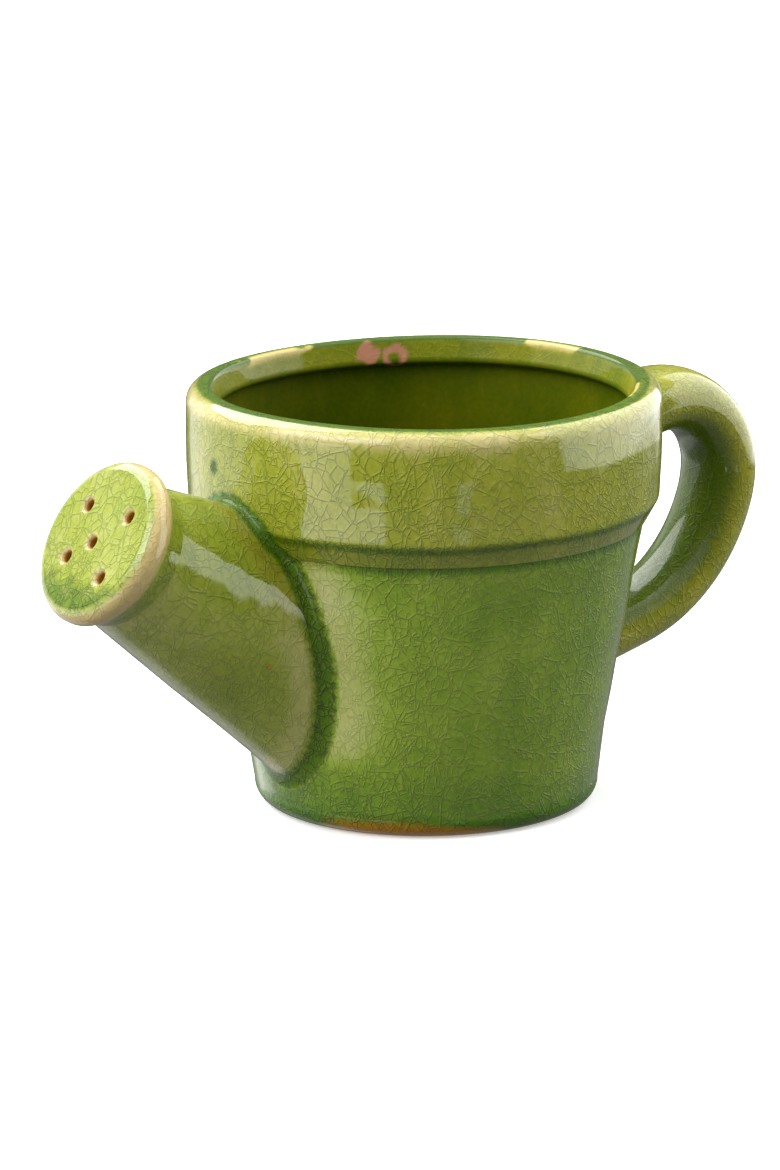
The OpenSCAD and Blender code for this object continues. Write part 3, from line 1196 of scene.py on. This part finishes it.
def strap_tree():
    """Geometry nodes that sweep an oval along the strap's path, thinning as it goes."""
    tree, given = geometry_tree(
        "pull_strap",
        (
            ("Path", "Geometry", None),
            ("Thickness", "Float", 0.017),
            ("Width", "Float", 0.025),
            ("Sides", "Int", 72),
            ("Stations", "Int", 9),
            ("Glaze", "Material", None),
        ),
    )
    add, join, maths, vector, fade = tree_tools(tree)
    cols = maths("ADD", given["Sides"], 1.0)
    sheet = add(
        "GeometryNodeMeshGrid",
        {"Vertices X": given["Stations"], "Vertices Y": cols},
    )
    index = add("GeometryNodeInputIndex").outputs[0]
    station = maths("FLOOR", maths("DIVIDE", index, cols))
    angle = maths(
        "MULTIPLY",
        maths("DIVIDE", maths("MODULO", index, cols), given["Sides"]),
        math.tau,
    )

    def sample(key, kind):
        named = add("GeometryNodeInputNamedAttribute", {"Name": key}, data_type=kind)
        picked = add(
            "GeometryNodeSampleIndex",
            {"Geometry": given["Path"], "Index": station},
            data_type=kind,
            domain="POINT",
            clamp=True,
        )
        join(named.outputs[0], picked.inputs["Value"])
        return picked.outputs["Value"]

    middle = sample("position", "FLOAT_VECTOR")
    over = sample("over", "FLOAT_VECTOR")
    share = sample("share", "FLOAT")
    lift = maths("MULTIPLY", maths("MULTIPLY", given["Thickness"], 0.5), share)
    spread = maths("MULTIPLY", maths("MULTIPLY", given["Width"], 0.5), share)
    lift = maths("MULTIPLY", lift, maths("COSINE", angle))
    spread = maths("MULTIPLY", spread, maths("SINE", angle))
    aside = add("ShaderNodeCombineXYZ", {"Y": spread}).outputs[0]
    raised = vector("ADD", middle, vector("SCALE", over, lift))
    total = vector("ADD", raised, aside)
    placed = add(
        "GeometryNodeSetPosition",
        {"Geometry": sheet.outputs["Mesh"], "Position": total},
    )
    welded = add(
        "GeometryNodeMergeByDistance", {"Geometry": placed.outputs[0], "Distance": weld}
    )
    return finish_tree(tree, welded.outputs[0], given["Glaze"])


path_mesh = bpy.data.meshes.new("strap_path")
path_mesh.from_pydata([(-s * MM, 0.0, h * MM) for s, h, _ in path], [], [])
over = path_mesh.attributes.new("over", "FLOAT_VECTOR", "POINT")
for i, (_, _, a) in enumerate(path):
    over.data[i].vector = (math.sin(a), 0.0, math.cos(a))
shares = path_mesh.attributes.new("share", "FLOAT", "POINT")
for i, s in enumerate(along):
    shares.data[i].value = 1.0 - strap_taper * s
strap_mesh = run_tree(
    "handle",
    path_mesh,
    strap_tree(),
    {
        "Thickness": strap_t * MM,
        "Width": strap_w * MM,
        "Stations": len(path),
        "Glaze": handle_glaze,
    },
)


def cap_ends(mesh):
    """Closes a tube's two open ends."""
    form = bmesh.new()
    form.from_mesh(mesh)
    bmesh.ops.holes_fill(form, edges=[e for e in form.edges if e.is_boundary], sides=0)
    form.to_mesh(mesh)
    form.free()
    return outward(mesh)


cap_ends(strap_mesh)
p = mesh_points(strap_mesh)
reach = np.hypot(p[:, 0], p[:, 1])
least = pot_radius(p[:, 2]) - 1.8
p[:, :2] *= np.maximum(1.0, least / np.maximum(reach, 1.0))[:, None]
strap_mesh.vertices.foreach_set("co", (p * MM).astype(np.float32).ravel())


def strap_at(turn, s):
    """Point on the strap's skin at share s of its length, turn 0 on its back."""
    mid = np.stack([np.interp(s, along, path[:, 0]), np.interp(s, along, path[:, 1])], -1)
    a = np.interp(s, along, path[:, 2])
    f = 1.0 - strap_taper * s
    lift = strap_t / 2 * f * np.cos(turn)
    side = strap_w / 2 * f * np.sin(turn)
    x = mid[:, 0] - lift * np.sin(a)
    z = mid[:, 1] + lift * np.cos(a)
    return np.stack([-x, side, z], -1)


def strap_meet(from_start):
    """Share of the strap's length where each line along its skin leaves the pot."""
    walk = np.linspace(0, 0.5, 400)
    found = np.zeros(ring_n)
    for w in walk:
        s = np.full(ring_n, w if from_start else 1 - w)
        q = strap_at(ring, s)
        inside = np.hypot(q[:, 0], q[:, 1]) < pot_radius(q[:, 2])
        found = np.where(inside, s, found if from_start or w else 1.0)
    low = found.copy()
    high = found + (0.5 / 399 if from_start else -0.5 / 399)
    for _ in range(20):
        mid = (low + high) / 2
        q = strap_at(ring, mid)
        inside = np.hypot(q[:, 0], q[:, 1]) < pot_radius(q[:, 2])
        low = np.where(inside, mid, low)
        high = np.where(inside, high, mid)
    return (low + high) / 2


long_mm = float(np.sum(np.hypot(*np.diff(path[:, :2], axis=0).T)))
joints = {}
for key, from_start in (("handle_top_lute", True), ("handle_low_lute", False)):
    foot = strap_meet(from_start)
    joints[key] = (foot, strap_at(ring, foot))
top_line = joints["handle_top_lute"][1]
low_line = joints["handle_low_lute"][1]
p = mesh_points(strap_mesh)
near_top, near_low = near_line(p, top_line), near_line(p, low_line)
in_plane = np.stack([-p[:, 0], p[:, 2]], -1)
gap2 = np.linalg.norm(in_plane[:, None, :] - path[None, :, :2], axis=2)
station = gap2.argmin(1)
heads = path[station, 2]
lift = (in_plane[:, 0] - path[station, 0]) * -np.sin(heads) + (
    in_plane[:, 1] - path[station, 1]
) * np.cos(heads)
lift /= strap_t / 2 * (1.0 - strap_taper * along[station])
streak = ramp(np.abs(p[:, 1] + 2.0), 9.0, 5.0) * ramp(lift, 0.0, 0.7)
coats = {
    "pool": np.maximum.reduce(
        [
            0.75 * ramp(lift, -0.1, -0.85),
            0.85 * ramp(near_top, 5.0, 1.0),
            0.42 * streak * ramp(near_top, 17.0, 5.0),
            0.85 * ramp(near_low, 4.0, 1.0),
        ]
    ),
    "thin": 0.34 * ramp(lift, 0.55, 1.0) * ramp(along[station], 0.15, 0.35),
    # painted shade: the strap's inner side, facing the pot, is darkened
    "painted_shade": 0.15 * ramp(lift, 0.5, -0.6),
}
fire("handle", strap_mesh, coats, "handle_strap")

for key, node in (
    ("handle_top_lute", "handle_top_luting"),
    ("handle_low_lute", "handle_bottom_luting"),
):
    foot, line = joints[key]
    sign = 1.0 if key == "handle_top_lute" else -1.0
    on_strap = strap_at(ring, foot + sign * strap_fillet / long_mm)
    skirt = pot_skirt(line, line.mean(0), strap_fillet)
    coil = fillet_ring(key, on_strap, line, skirt, inwards(line) * lute_sink, handle_glaze)
    p = mesh_points(coil)
    d = near_line(p, line)
    coats = {
        "pool": 0.35 + 0.6 * ramp(d, 2.6, 1.0),
        # painted shade: darker close to where the strap meets the pot
        "painted_shade": 0.1 * ramp(d, 2.2, 1.0),
    }
    fire(key, coil, coats, node)
